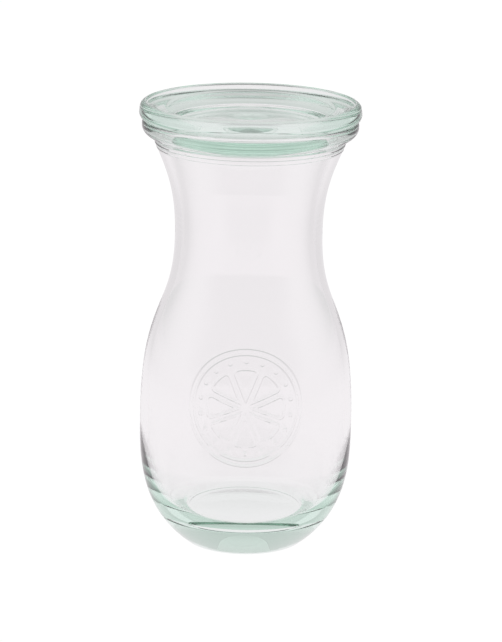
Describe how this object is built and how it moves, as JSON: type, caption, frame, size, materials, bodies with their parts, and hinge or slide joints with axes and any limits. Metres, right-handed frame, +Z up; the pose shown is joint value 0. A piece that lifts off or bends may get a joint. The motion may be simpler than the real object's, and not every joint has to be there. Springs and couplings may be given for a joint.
{
  "type": "glass juice bottle",
  "caption": "Clear glass juice bottle with a narrow waist, a wide mouth, a thick round rim and a loose dished glass lid resting on it.",
  "frame": {"origin": "on the bottle's axis, at the height of the bearing ring that the bottle stands on", "axes": "+Z up along the axis of the bottle and the lid, -Y towards the front, where the embossed medallion is, +X to the right seen from the front"},
  "size_m": [0.0688, 0.0688, 0.1407],
  "materials": {
    "bottle_glass": "clear pressed glass with a faint green tint, smooth and glossy",
    "lid_glass": "clear pressed glass with a green tint at its thick edge, smooth and glossy"
  },
  "bodies": {
    "bottle": {"bottle": "bottle_glass"},
    "lid": {"lid": "lid_glass"}
  },
  "joints": [
    {"name": "lid_lift", "type": "slide", "parent": "bottle", "child": "lid", "axis": [0, 0, 1], "range_m": [0, 0.05]}
  ]
}
